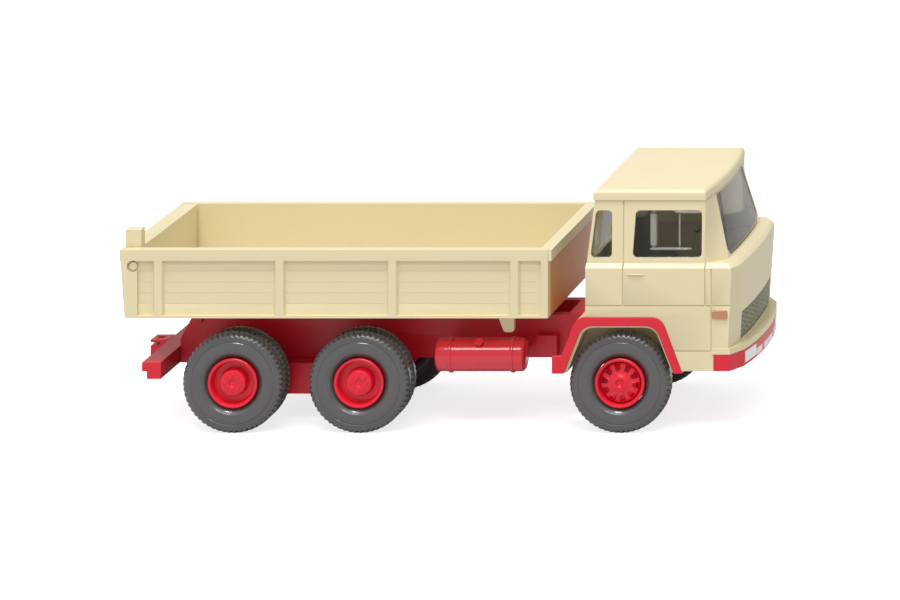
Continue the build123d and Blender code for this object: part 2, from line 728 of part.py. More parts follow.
# Bed front wall: between the sides, with a rail that stands forward across their ends
with BuildPart() as bed_front:
    front_half = WALL_IN_Y - SEAT_GAP
    with Locations((WALL_FRONT - WALL_THICK / 2, 0, (BED_BOTTOM + BED_TOP) / 2)):
        Box(WALL_THICK, 2 * front_half, WALL_H)
    with Locations((WALL_FRONT, 0, BED_TOP - RAIL_H / 2)):
        Box(2 * RAIL_PROUD, 2 * front_half, RAIL_H)
    with Locations((WALL_FRONT + (RAIL_PROUD + SEAT_GAP) / 2, 0, BED_TOP - RAIL_H / 2)):
        Box(RAIL_PROUD - SEAT_GAP, 2 * BED_HALF, RAIL_H)
bed_front.part.label = "bed_front_wall"
export_step(bed_front.part, "parts/bed_front_wall.step")


# Tailgate: a plate with a leaning outer face, a hinge pin at each end and one raised lug
with BuildPart() as gate:
    gate_half = WALL_IN_Y - SWING_GAP
    gate_bottom = BED_BOTTOM + GATE_LIFT
    with BuildSketch(side_plane(0)):
        with BuildLine():
            Polyline(
                (BED_REAR, BED_TOP),
                (GATE_FRONT, BED_TOP),
                (GATE_FRONT, gate_bottom),
                (BED_REAR_BOTTOM - GATE_LEAN * GATE_LIFT / WALL_H, gate_bottom),
                close=True,
            )
        make_face()
    extrude(amount=gate_half, both=True)
    for _, side in SIDES:
        with BuildSketch(side_plane(side * (gate_half - GATE_PIN_ROOT))):
            with Locations((GATE_PIN_X, GATE_PIN_Z)):
                Circle(GATE_PIN_R)
        extrude(amount=-side * (BED_HALF - GATE_BORE_DEPTH / 2 - gate_half + GATE_PIN_ROOT))
    with Locations((BED_REAR + LUG_INSET + LUG_LENGTH / 2, LUG_W / 2 - gate_half, BED_TOP + LUG_RISE / 2)):
        Box(LUG_LENGTH, LUG_W, LUG_RISE)
gate.part.label = "tailgate"
export_step(gate.part, "parts/tailgate.step")


def arch_points(inset):
    """Side-view outline of a wheel arch, in from the outer edge of its band."""
    top_half = ARCH_TOP_HALF - inset * ARCH_TOP_HALF / ARCH_BOTTOM_HALF
    bottom_half = ARCH_BOTTOM_HALF - inset
    return [
        (FRONT_AXLE_X - bottom_half, ARCH_BOTTOM),
        (FRONT_AXLE_X + bottom_half, ARCH_BOTTOM),
        (FRONT_AXLE_X + top_half, ARCH_TOP - inset),
        (FRONT_AXLE_X - top_half, ARCH_TOP - inset),
    ]


def door_glass_points(inset):
    """Side-view outline of the door window, in from the edge of its opening."""
    return [
        (DOOR_GLASS_REAR + inset, SIDE_SILL_Z + inset),
        (DOOR_GLASS_FRONT - inset, SIDE_SILL_Z + inset),
        (DOOR_GLASS_FRONT - inset, SIDE_HEAD_Z - inset),
        (DOOR_GLASS_REAR + DOOR_GLASS_RAKE + inset, SIDE_HEAD_Z - inset),
    ]


def quarter_glass_points(inset):
    """Side-view outline of the rear quarter window, in from the edge of its opening."""
    rake = EAVES_RAKE / (EAVES - WAIST)
    rear = CAB_REAR + QUARTER_PILLAR + inset
    return [
        (rear + rake * (SIDE_SILL_Z - WAIST), SIDE_SILL_Z + inset),
        (QUARTER_FRONT - inset, SIDE_SILL_Z + inset),
        (QUARTER_FRONT - inset, SIDE_HEAD_Z - inset),
        (rear + rake * (SIDE_HEAD_Z - WAIST), SIDE_HEAD_Z - inset),
    ]


def screen_points(inset):
    """Front-view outline of the windscreen, in from the edge of its opening."""
    return [
        (inset - SCREEN_BOTTOM_HALF, SCREEN_SILL_Z + inset),
        (SCREEN_BOTTOM_HALF - inset, SCREEN_SILL_Z + inset),
        (SCREEN_TOP_HALF - inset, SCREEN_HEAD_Z - inset),
        (inset - SCREEN_TOP_HALF, SCREEN_HEAD_Z - inset),
    ]


BACK_GLASS_W = BACK_GLASS_OUT - BACK_GLASS_IN
BACK_GLASS_H = SIDE_HEAD_Z - SIDE_SILL_Z
BACK_GLASS_CENTRES = [
    (side * (BACK_GLASS_IN + BACK_GLASS_OUT) / 2, (SIDE_SILL_Z + SIDE_HEAD_Z) / 2) for _, side in SIDES
]
lower_body = nose_block(CAB_LOWER)
lower_room = nose_block(CAB_LOWER, CAB_WALL, CAB_WALL, CAB_WALL)
ledge_body = nose_block(CAB_LEDGE)
lip_body = nose_block(NOSE_LIP)
upper_body = nose_block(CAB_UPPER)
upper_room = nose_block(CAB_UPPER, CAB_WALL, CAB_WALL, CAB_WALL)

# Door lines of the upper cab: engraved upright through the ledge to the eaves, following the leaning side
upper_skin = nose_block(CAB_UPPER, -CUT_OVER, LINE_DEPTH, -CUT_OVER)
with BuildPart() as pillar_lines:
    with BuildSketch(side_plane(0)):
        with Locations(*[(x, (WAIST + EAVES) / 2) for x in (DOOR_REAR, DOOR_FRONT)]):
            Rectangle(LINE_W, EAVES - WAIST)
    extrude(amount=BED_HALF, both=True)
    add(upper_skin, mode=Mode.SUBTRACT)


# Cab shell: one hollow moulding with a floor, window openings, arch liners and engraved door lines
with BuildPart() as cab:
    add([lower_body, ledge_body, upper_body, lip_body])
    add([lower_room, upper_room], mode=Mode.SUBTRACT)
    with BuildSketch(Plane.XY.offset(CAB_FLOOR)):
        floor_length = NOSE_FOOT - CAB_REAR - 3 * CAB_WALL
        with Locations((CAB_REAR + CAB_WALL / 2 + floor_length / 2, 0)):
            Rectangle(floor_length, 2 * CAB_HALF - CAB_WALL)
    extrude(amount=CAB_FLOOR_THICK)
    with Locations((FRONT_AXLE_X - ARCH_BOTTOM_HALF, 0, (CAB_BOTTOM + CAB_FLOOR) / 2)):
        Box(2 * ARCH_BOTTOM_HALF, 2 * BED_HALF, CAB_FLOOR - CAB_BOTTOM, mode=Mode.SUBTRACT)
    for _, side in SIDES:
        with BuildSketch(side_plane(side * (CAB_UPPER_HALF - 2 * CAB_WALL))):
            Polygon(*door_glass_points(0), align=None)
            Polygon(*quarter_glass_points(0), align=None)
            fillet(vertices(), PANE_ROUND)
        extrude(amount=-side * CUT_OVER, mode=Mode.SUBTRACT)
        with BuildSketch(side_plane(side * (CAB_HALF + ARCH_PROUD))):
            Polygon(*arch_points(-SEAT_GAP), align=None)
            fillet(vertices().group_by(Axis.Y)[-1], ARCH_ROUND)
        extrude(amount=side * (ARCH_DEPTH + ARCH_PROUD + SEAT_GAP), mode=Mode.SUBTRACT)
        with BuildSketch(side_plane(side * (CAB_HALF - ARCH_DEPTH - SEAT_GAP))):
            Polygon(*arch_points(0), align=None)
            fillet(vertices().group_by(Axis.Y)[-1], ARCH_ROUND)
        extrude(amount=side * (CAB_HALF - ARCH_DEPTH - SEAT_GAP - LINER_IN_Y))
        with BuildSketch(side_plane(side * (CAB_HALF - ARCH_DEPTH - SEAT_GAP))):
            Polygon(*arch_points(LINER_THICK), align=None)
            fillet(vertices().group_by(Axis.Y)[-1], ARCH_ROUND)
        extrude(amount=side * (CAB_HALF - ARCH_DEPTH - SEAT_GAP - LINER_IN_Y), mode=Mode.SUBTRACT)
    with BuildSketch(front_plane(SCREEN_HEAD_X - 2 * CAB_WALL)):
        Polygon(*screen_points(0), align=None)
        fillet(vertices().group_by(Axis.Y)[0], SCREEN_ROUND)
        fillet(vertices().group_by(Axis.Y)[-1], PANE_ROUND)
    extrude(amount=SCREEN_RAKE + SCREEN_BOW + CUT_OVER, mode=Mode.SUBTRACT)
    with BuildSketch(front_plane(CAB_REAR - CAB_WALL)):
        with Locations(*BACK_GLASS_CENTRES):
            RectangleRounded(BACK_GLASS_W, BACK_GLASS_H, PANE_ROUND)
    extrude(amount=EAVES_RAKE + CUT_OVER, mode=Mode.SUBTRACT)
    bumper_room = BUMPER_TOP + SEAT_GAP
    with Locations((BUMPER_REAR - SEAT_GAP + CUT_OVER, 0, (CAB_BOTTOM + bumper_room) / 2)):
        Box(2 * CUT_OVER, 2 * BED_HALF, bumper_room - CAB_BOTTOM, mode=Mode.SUBTRACT)
    with Locations((FRAME_FRONT + CUT_OVER, 0, (GRILLE_BOTTOM + GRILLE_TOP) / 2)):
        Box(2 * CUT_OVER, 2 * GRILLE_HALF, GRILLE_TOP - GRILLE_BOTTOM, mode=Mode.SUBTRACT)
    for _, side in SIDES:
        with BuildSketch(side_plane(side * (CAB_HALF - LINE_DEPTH))):
            for x, foot in ((DOOR_REAR, DOOR_BOTTOM), (DOOR_FRONT, DOOR_BOTTOM), (CORNER_LINE, SKIRT_LINE)):
                with Locations((x, (foot + WAIST) / 2)):
                    Rectangle(LINE_W, WAIST - foot)
            with Locations(((CAB_REAR + NOSE_FOOT) / 2, DOOR_BOTTOM)):
                Rectangle(NOSE_FOOT - CAB_REAR, LINE_W)
            with Locations(((FRONT_AXLE_X + ARCH_TOP_HALF + CORNER_LINE) / 2, SKIRT_LINE)):
                Rectangle(CORNER_LINE - FRONT_AXLE_X - ARCH_TOP_HALF, LINE_W)
        extrude(amount=-side * CUT_OVER, mode=Mode.SUBTRACT)
    add(pillar_lines.part, mode=Mode.SUBTRACT)
cab.part.label = "cab_shell"
export_step(cab.part, "parts/cab_shell.step")


# Roof: a cap with rounded edges that stands out over the eaves
roof_block = nose_block(CAB_ROOF, -ROOF_OVERHANG, -ROOF_OVERHANG)
with BuildPart() as roof:
    add(roof_block)
    fillet(roof.faces().sort_by(Axis.Z)[-1].edges(), ROOF_ROUND)
roof.part.label = "cab_roof"
export_step(roof.part, "parts/cab_roof.step")


# Side windows: a door pane and a quarter pane on each side, let into their openings
GLASS_BACK = GLASS_INSET + GLASS_THICK
side_outer = nose_block(CAB_UPPER, side_in=GLASS_INSET)
side_inner = nose_block(CAB_UPPER, -CUT_OVER, GLASS_BACK, -CUT_OVER)
with BuildPart() as side_panes:
    add(side_outer)
    add(side_inner, mode=Mode.SUBTRACT)
    with BuildSketch(side_plane(0)):
        Polygon(*door_glass_points(SEAT_GAP), align=None)
        Polygon(*quarter_glass_points(SEAT_GAP), align=None)
        fillet(vertices(), PANE_ROUND - SEAT_GAP)
    extrude(amount=BED_HALF, both=True, mode=Mode.INTERSECT)
side_panes.part.label = "side_windows"
export_step(side_panes.part, "parts/side_windows.step")


# Windscreen: one raked pane, bowed like the nose
screen_outer = nose_block(CAB_UPPER, nose_in=GLASS_INSET)
screen_inner = nose_block(CAB_UPPER, -CUT_OVER, -CUT_OVER, GLASS_BACK)
with BuildPart() as screen:
    add(screen_outer)
    add(screen_inner, mode=Mode.SUBTRACT)
    with BuildSketch(front_plane(SCREEN_HEAD_X - 2 * CAB_WALL)):
        Polygon(*screen_points(SEAT_GAP), align=None)
        fillet(vertices().group_by(Axis.Y)[0], SCREEN_ROUND - SEAT_GAP)
        fillet(vertices().group_by(Axis.Y)[-1], PANE_ROUND - SEAT_GAP)
    extrude(amount=SCREEN_RAKE + SCREEN_BOW + CUT_OVER, mode=Mode.INTERSECT)
screen.part.label = "windscreen"
export_step(screen.part, "parts/windscreen.step")


# Back windows: a pair of upright panes behind the seats
back_outer = nose_block(CAB_UPPER, rear_in=GLASS_INSET)
back_inner = nose_block(CAB_UPPER, GLASS_BACK, -CUT_OVER, -CUT_OVER)
with BuildPart() as back_panes:
    add(back_outer)
    add(back_inner, mode=Mode.SUBTRACT)
    with BuildSketch(front_plane(CAB_REAR - CAB_WALL)):
        with Locations(*BACK_GLASS_CENTRES):
            RectangleRounded(BACK_GLASS_W - 2 * SEAT_GAP, BACK_GLASS_H - 2 * SEAT_GAP, PANE_ROUND - SEAT_GAP)
    extrude(amount=EAVES_RAKE + CUT_OVER, mode=Mode.INTERSECT)
back_panes.part.label = "back_windows"
export_step(back_panes.part, "parts/back_windows.step")


# Wheel arch bands: coloured edges round the front arches, with a short flap down each rear leg
for side_name, side in SIDES:
    with BuildPart() as arch:
        with BuildSketch(side_plane(side * (CAB_HALF + ARCH_PROUD))):
            Polygon(*arch_points(0), align=None)
            fillet(vertices().group_by(Axis.Y)[-1], ARCH_ROUND)
        extrude(amount=side * (ARCH_DEPTH + ARCH_PROUD))
        with BuildSketch(side_plane(side * (CAB_HALF + ARCH_PROUD))):
            Polygon(*arch_points(ARCH_BAND), align=None)
            fillet(vertices().group_by(Axis.Y)[-1], ARCH_ROUND)
        extrude(amount=side * (ARCH_DEPTH + ARCH_PROUD), mode=Mode.SUBTRACT)
        with BuildSketch(side_plane(side * (CAB_HALF + ARCH_PROUD))):
            flap_rear = FRONT_AXLE_X - ARCH_BOTTOM_HALF - FLAP_OUT
            with Locations((flap_rear + FLAP_W / 2, ARCH_BOTTOM + FLAP_H / 2)):
                Rectangle(FLAP_W, FLAP_H)
        extrude(amount=side * (ARCH_DEPTH + ARCH_PROUD))
    arch.part.label = f"arch_band_{side_name}"
    export_step(arch.part, f"parts/arch_band_{side_name}.step")


# Front bumper: a deep band round the nose with two lamp pockets
LAMP_W = LAMP_OUT_Y - LAMP_IN_Y
LAMP_CENTRES = [(side * (LAMP_IN_Y + LAMP_OUT_Y) / 2, (BUMPER_BOTTOM + BUMPER_TOP) / 2) for _, side in SIDES]
bumper_outer = nose_block(BUMPER_BAND)
bumper_inner = nose_block(BUMPER_BAND, -CUT_OVER, BUMPER_THICK, BUMPER_THICK)
with BuildPart() as bumper:
    add(bumper_outer)
    add(bumper_inner, mode=Mode.SUBTRACT)
    with BuildSketch(front_plane(BUMPER_FRONT - LAMP_DEPTH)):
        with Locations(*LAMP_CENTRES):
            Rectangle(LAMP_W, LAMP_H)
    extrude(amount=CUT_OVER, mode=Mode.SUBTRACT)
bumper.part.label = "front_bumper"
export_step(bumper.part, "parts/front_bumper.step")


# Headlamps: a pair of lenses in the bumper's pockets, flush with its bowed face
with BuildPart() as lamps:
    add(bumper_outer)
    with BuildSketch(front_plane(BUMPER_FRONT - LAMP_DEPTH + SEAT_GAP)):
        with Locations(*LAMP_CENTRES):
            Rectangle(LAMP_W - 2 * SEAT_GAP, LAMP_H - 2 * SEAT_GAP)
    extrude(amount=CUT_OVER, mode=Mode.INTERSECT)
lamps.part.label = "headlamps"
export_step(lamps.part, "parts/headlamps.step")


# Grille: a raked and bowed plate with engraved slots, in the opening under the nose panel
grille_outer = nose_block(CAB_LOWER, nose_in=GRILLE_INSET)
grille_inner = nose_block(CAB_LOWER, -CUT_OVER, -CUT_OVER, GRILLE_INSET + GRILLE_THICK)
slot_outer = nose_block(CAB_LOWER, nose_in=GRILLE_INSET - CUT_OVER)
slot_inner = nose_block(CAB_LOWER, -CUT_OVER, -CUT_OVER, GRILLE_INSET + GRILLE_RELIEF)
GRILLE_H = GRILLE_TOP - GRILLE_BOTTOM
GRILLE_CENTRE = (0, (GRILLE_BOTTOM + GRILLE_TOP) / 2)
SLOT_PITCH = (GRILLE_H - 2 * GRILLE_BORDER) / GRILLE_ROWS
with BuildPart() as slots:
    add(slot_outer)
    add(slot_inner, mode=Mode.SUBTRACT)
    with BuildSketch(front_plane(NOSE_FOOT - CUT_OVER)):
        with Locations(GRILLE_CENTRE):
            with GridLocations(0, SLOT_PITCH, 1, GRILLE_ROWS):
                Rectangle(2 * (GRILLE_HALF - GRILLE_BORDER), SLOT_PITCH - GRILLE_BAR)
    extrude(amount=3 * CUT_OVER, mode=Mode.INTERSECT)
with BuildPart() as grille:
    add(grille_outer)
    add(grille_inner, mode=Mode.SUBTRACT)
    with BuildSketch(front_plane(NOSE_FOOT - CUT_OVER)):
        with Locations(GRILLE_CENTRE):
            Rectangle(2 * (GRILLE_HALF - SEAT_GAP), GRILLE_H - 2 * SEAT_GAP)
    extrude(amount=3 * CUT_OVER, mode=Mode.INTERSECT)
    add(slots.part, mode=Mode.SUBTRACT)
grille.part.label = "grille"
export_step(grille.part, "parts/grille.step")


# Corner lamps: a flat lens on each side of the cab, close behind its front corner
with BuildPart() as corner_lamps:
    lamp_y = CAB_HALF + SEAT_GAP + CORNER_LAMP_PROUD / 2
    with Locations((CORNER_LAMP_REAR + CORNER_LAMP_LENGTH / 2, 0, CORNER_LAMP_Z)):
        with GridLocations(0, 2 * lamp_y, 1, 2):
            Box(CORNER_LAMP_LENGTH, CORNER_LAMP_PROUD, CORNER_LAMP_H)
corner_lamps.part.label = "corner_lamps"
export_step(corner_lamps.part, "parts/corner_lamps.step")


# Interior: one dark moulding with two seats, the engine tunnel and the dashboard
with BuildPart() as interior:
    floor_z = CAB_FLOOR_TOP + SEAT_GAP
    dash_front = DASH_REAR + DASH_LENGTH
    dash_top = WAIST - DASH_DROP
    for _, side in SIDES:
        with Locations((SEAT_REAR + SEAT_LENGTH / 2, side * SEAT_Y, floor_z + SEAT_H / 2)):
            Box(SEAT_LENGTH, SEAT_W, SEAT_H)
        with Locations((SEAT_REAR + BACK_THICK / 2, side * SEAT_Y, floor_z + BACK_H / 2)):
            Box(BACK_THICK, SEAT_W, BACK_H)
    with Locations(((SEAT_REAR + dash_front) / 2, 0, floor_z + TUNNEL_H / 2)):
        Box(dash_front - SEAT_REAR, 2 * SEAT_Y - SEAT_W, TUNNEL_H)
    with Locations(((DASH_REAR + dash_front) / 2, 0, (floor_z + dash_top) / 2)):
        Box(DASH_LENGTH, 2 * DASH_HALF, dash_top - floor_z)
interior.part.label = "cab_interior"
export_step(interior.part, "parts/cab_interior.step")


# Steering wheel: a ring with a cross spoke on a raked column that meets the dashboard
with BuildPart() as steering:
    column_up = Plane.XY.rotated((0, -COLUMN_RAKE, 0)).z_dir
    wheel_plane = Plane(origin=(WHEEL_X, SEAT_Y, WHEEL_Z), x_dir=(0, 1, 0), z_dir=column_up)
    with Locations(wheel_plane):
        Torus(WHEEL_R, WHEEL_WIRE)
        Box(2 * WHEEL_R, 2 * COLUMN_R, WHEEL_WIRE)
    with BuildSketch(wheel_plane):
        Circle(COLUMN_R)
    extrude(amount=-COLUMN_LENGTH)
    with Locations((DASH_REAR - SEAT_GAP + COLUMN_LENGTH / 2, SEAT_Y, WHEEL_Z)):
        Box(COLUMN_LENGTH, 2 * WHEEL_R, 2 * COLUMN_LENGTH, mode=Mode.SUBTRACT)
steering.part.label = "steering_wheel"
export_step(steering.part, "parts/steering_wheel.step")
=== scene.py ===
import json
import math
import bmesh
import bpy
from mathutils import Matrix, Vector
from mathutils.bvhtree import BVHTree


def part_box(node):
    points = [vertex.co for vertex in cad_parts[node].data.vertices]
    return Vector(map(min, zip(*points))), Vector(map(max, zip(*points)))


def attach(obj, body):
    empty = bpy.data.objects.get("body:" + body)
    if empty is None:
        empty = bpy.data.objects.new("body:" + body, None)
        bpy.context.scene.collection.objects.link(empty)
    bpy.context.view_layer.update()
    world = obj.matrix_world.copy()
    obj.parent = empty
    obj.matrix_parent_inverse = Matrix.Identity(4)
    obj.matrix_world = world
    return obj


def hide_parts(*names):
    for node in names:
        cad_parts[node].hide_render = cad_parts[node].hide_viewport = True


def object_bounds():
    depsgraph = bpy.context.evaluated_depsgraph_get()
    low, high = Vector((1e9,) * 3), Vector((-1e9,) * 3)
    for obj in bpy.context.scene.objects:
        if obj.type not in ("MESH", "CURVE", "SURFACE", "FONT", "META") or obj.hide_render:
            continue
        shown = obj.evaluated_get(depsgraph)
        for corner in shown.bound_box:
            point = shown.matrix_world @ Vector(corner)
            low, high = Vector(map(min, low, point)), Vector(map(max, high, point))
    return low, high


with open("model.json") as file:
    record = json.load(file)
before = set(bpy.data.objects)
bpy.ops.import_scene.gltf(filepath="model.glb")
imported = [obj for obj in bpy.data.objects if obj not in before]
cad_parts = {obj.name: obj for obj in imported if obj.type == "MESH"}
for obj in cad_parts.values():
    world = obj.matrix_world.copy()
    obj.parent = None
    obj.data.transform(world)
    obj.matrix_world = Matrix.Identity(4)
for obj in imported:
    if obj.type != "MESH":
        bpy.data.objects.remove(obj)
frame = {"nodes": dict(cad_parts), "record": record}
cad_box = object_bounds()

# Red chassis: frame rails with cross members, axle carriers, rear crossbar, tow jaw and tipping pin.
# It is injection moulded in coloured plastic, so every edge leaves the mould slightly rounded and the
# tint carries faint flow marks. The tipping pin is a peg of the same plastic.
MM = 0.001
NOISE_MIDDLE = 0.5
behaviour = frame["record"]["behaviour"]
body_of_node = {node: body for body, nodes in behaviour["bodies"].items() for node in nodes}


def skin_group():
    """Node group of a moulded skin: flow marks in the tint, uneven gloss, a fine grain."""
    group = bpy.data.node_groups.new("moulded_skin", "ShaderNodeTree")
    for name, kind, value in (
        ("Colour", "NodeSocketColor", (0.5, 0.5, 0.5, 1)),
        ("Flow Amount", "NodeSocketFloat", 0.08),
        ("Flow Scale", "NodeSocketFloat", 160.0),
        ("Grain Scale", "NodeSocketFloat", 5000.0),
        ("Roughness", "NodeSocketFloat", 0.4),
        ("Roughness Spread", "NodeSocketFloat", 0.12),
    ):
        socket = group.interface.new_socket(name, in_out="INPUT", socket_type=kind)
        socket.default_value = value
    group.interface.new_socket("Colour", in_out="OUTPUT", socket_type="NodeSocketColor")
    group.interface.new_socket("Roughness", in_out="OUTPUT", socket_type="NodeSocketFloat")
    group.interface.new_socket("Grain", in_out="OUTPUT", socket_type="NodeSocketFloat")
    nodes, links = group.nodes, group.links
    given = nodes.new("NodeGroupInput")
    result = nodes.new("NodeGroupOutput")
    place = nodes.new("ShaderNodeTexCoord")
    flow = nodes.new("ShaderNodeTexNoise")
    flow.inputs["Detail"].default_value = 4
    flow.inputs["Distortion"].default_value = 0.6
    links.new(place.outputs["Object"], flow.inputs["Vector"])
    links.new(given.outputs["Flow Scale"], flow.inputs["Scale"])
    centred = nodes.new("ShaderNodeMath")
    centred.operation = "SUBTRACT"
    centred.inputs[1].default_value = NOISE_MIDDLE
    links.new(flow.outputs["Fac"], centred.inputs[0])
    swing = nodes.new("ShaderNodeMath")
    swing.operation = "MULTIPLY_ADD"
    swing.inputs[2].default_value = 1.0
    links.new(centred.outputs[0], swing.inputs[0])
    links.new(given.outputs["Flow Amount"], swing.inputs[1])
    tint = nodes.new("ShaderNodeHueSaturation")
    links.new(swing.outputs[0], tint.inputs["Value"])
    links.new(given.outputs["Colour"], tint.inputs["Color"])
    links.new(tint.outputs["Color"], result.inputs["Colour"])
    rough = nodes.new("ShaderNodeMath")
    rough.operation = "MULTIPLY_ADD"
    links.new(centred.outputs[0], rough.inputs[0])
    links.new(given.outputs["Roughness Spread"], rough.inputs[1])
    links.new(given.outputs["Roughness"], rough.inputs[2])
    links.new(rough.outputs[0], result.inputs["Roughness"])
    grain = nodes.new("ShaderNodeTexNoise")
    grain.inputs["Detail"].default_value = 2
    links.new(place.outputs["Object"], grain.inputs["Vector"])
    links.new(given.outputs["Grain Scale"], grain.inputs["Scale"])
    links.new(grain.outputs["Fac"], result.inputs["Grain"])
    return group


moulded_skin = skin_group()
COAT_ROUGHNESS = 0.08
GRAIN_HEIGHT = 0.05


def plastic(name, colour, grain=0.12, coat=0.0, **values):
    """Material of one moulded plastic, with the skin group's values by name."""
    material = bpy.data.materials.new(name)
    material.use_nodes = True
    nodes, links = material.node_tree.nodes, material.node_tree.links
    shader = nodes["Principled BSDF"]
    shader.inputs["Coat Weight"].default_value = coat
    shader.inputs["Coat Roughness"].default_value = COAT_ROUGHNESS
    skin = nodes.new("ShaderNodeGroup")
    skin.node_tree = moulded_skin
    skin.inputs["Colour"].default_value = (*colour, 1)
    for socket, value in values.items():
        skin.inputs[socket.replace("_", " ").title()].default_value = value
    bump = nodes.new("ShaderNodeBump")
    bump.inputs["Strength"].default_value = grain
    bump.inputs["Distance"].default_value = GRAIN_HEIGHT * MM
    links.new(skin.outputs["Colour"], shader.inputs["Base Color"])
    links.new(skin.outputs["Roughness"], shader.inputs["Roughness"])
    links.new(skin.outputs["Grain"], bump.inputs["Height"])
    links.new(bump.outputs["Normal"], shader.inputs["Normal"])
    return material


def settle(piece, material, node, smooth=35):
    """Material, smooth shading and body of a finished piece that belongs to a CAD node."""
    piece.data.materials.clear()
    piece.data.materials.append(material)
    piece.data.shade_smooth()
    piece.data.set_sharp_from_angle(angle=math.radians(smooth))
    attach(piece, body_of_node[node])


MERGE_DISTANCE = 0.001
FLAT_ANGLE = math.radians(1)
EDGE_ANGLE = math.radians(32)
EDGE_SEGMENTS = 2


def moulding(node, material, edge=0.08):
    """Makes a copy of a CAD node with its sharp edges rounded, standing for that node."""
    piece = bpy.data.objects.new(node + "_moulding", frame["nodes"][node].data.copy())
    bpy.context.collection.objects.link(piece)
    shape = bmesh.new()
    shape.from_mesh(piece.data)
    bmesh.ops.remove_doubles(shape, verts=shape.verts, dist=MERGE_DISTANCE * MM)
    bmesh.ops.dissolve_limit(shape, angle_limit=FLAT_ANGLE, verts=shape.verts, edges=shape.edges)
    shape.to_mesh(piece.data)
    shape.free()
    settle(piece, material, node)
    rounding = piece.modifiers.new("rounded_edges", "BEVEL")
    rounding.width = edge * MM
    rounding.segments = EDGE_SEGMENTS
    rounding.limit_method = "ANGLE"
    rounding.angle_limit = EDGE_ANGLE
    rounding.harden_normals = True
    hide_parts(node)


red_plastic = plastic("red_plastic", (0.66, 0.010, 0.028), roughness=0.36, flow_amount=0.25)
for node in (
    "chassis_frame", "rear_crossbar", "tow_jaw", "rear_axle_carrier", "front_axle_carrier", "tipping_pin",
):
    moulding(node, red_plastic)

# Side tanks: round red tanks in two thin straps, with a filler neck. The polished mould leaves them
# glossier than the rest of the chassis.
SIDES = (("right", -1), ("left", 1))
TURN_STEPS = 120
TANK_R = 2.08
STRAP_RISE = 0.16
STRAP_REAR_INSET = 1.9
STRAP_FRONT_INSET = 1.55
FILLER_LEAN = 0.8
# Profiles of turned pieces: (distance along the axis, radius) in mm
tank_rear = ((0, 0), (0, 1.60), (0.05, 1.76), (0.16, 1.94), (0.32, 2.05), (0.5, TANK_R))
strap = (
    (-0.22, TANK_R), (-0.19, TANK_R + 0.13), (-0.14, TANK_R + STRAP_RISE),
    (0.14, TANK_R + STRAP_RISE), (0.19, TANK_R + 0.13), (0.22, TANK_R),
)
filler = ((1.6, 0), (1.6, 0.40), (2.36, 0.40), (2.38, 0.54), (2.60, 0.54), (2.66, 0.48), (2.66, 0))
red_gloss = plastic(
    "red_gloss", (0.68, 0.010, 0.028), grain=0.05, coat=0.8, roughness=0.2, flow_amount=0.15,
)


def lathe(shape, profile, middle, along):
    """Adds a solid turned about a line from its profile, and returns its faces by row and step."""
    across = along.orthogonal().normalized()
    up = along.cross(across)
    rows = []
    for depth, radius in profile:
        row = []
        for step in range(TURN_STEPS if radius else 1):
            turn = step / TURN_STEPS * math.tau
            spoke = math.cos(turn) * across + math.sin(turn) * up
            row.append(shape.verts.new(middle + MM * (along * depth + radius * spoke)))
        rows.append(row)
    faces = {}
    for row, (near, far) in enumerate(zip(rows, rows[1:])):
        for step in range(TURN_STEPS):
            after = (step + 1) % TURN_STEPS
            # A row on the axis has one point, so it counts once and the face is a triangle
            around = (
                near[step % len(near)], near[after % len(near)],
                far[after % len(far)], far[step % len(far)],
            )
            faces[row, step] = shape.faces.new(dict.fromkeys(around))
    return faces


def finish_mesh(name, shape):
    """Object from a bmesh, with its faces turned outward."""
    bmesh.ops.recalc_face_normals(shape, faces=shape.faces)
    mesh = bpy.data.meshes.new(name)
    shape.to_mesh(mesh)
    shape.free()
    piece = bpy.data.objects.new(name, mesh)
    bpy.context.collection.objects.link(piece)
    return piece


for side, sign in SIDES:
    node = f"side_tank_{side}"
    low, high = (Vector(corner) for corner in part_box(node))
    length = (high.x - low.x) / MM
    inner = min(low.y, high.y, key=abs)
    start = Vector((low.x, inner + sign * (TANK_R + STRAP_RISE) * MM, low.z + (TANK_R + STRAP_RISE) * MM))
    straps = [(STRAP_REAR_INSET + x, r) for x, r in strap]
    straps += [(length - STRAP_FRONT_INSET + x, r) for x, r in strap]
    tank_front = [(length - x, r) for x, r in reversed(tank_rear)]
    shape = bmesh.new()
    lathe(shape, (*tank_rear, *straps, *tank_front), start, Vector((1, 0, 0)))
    neck = Vector((0, sign * FILLER_LEAN, 1)).normalized()
    lathe(shape, filler, start + Vector((length / 2 * MM, 0, 0)), neck)
    piece = finish_mesh(node + "_turned", shape)
    settle(piece, red_gloss, node)
    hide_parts(node)

# Tyres: soft dark grey rings pressed over the rims, single in front and twin behind.
# Each is moulded in one with its tread notches, which run in from both shoulders.
PITCHES = 56
PITCH_PLACES = (0.0, 0.52, 0.60, 0.92)    # in one pitch of the tread: two on the block, two in the notch
BLOCK_PLACES = 2
BEAD_R = 3.15
TWIN_GAP = 0.3 * MM
tyre_rubber = plastic(
    "tyre_rubber", (0.076, 0.073, 0.074), grain=0.25, coat=0.9, roughness=0.40,
    flow_amount=0.2, flow_scale=300.0,
)


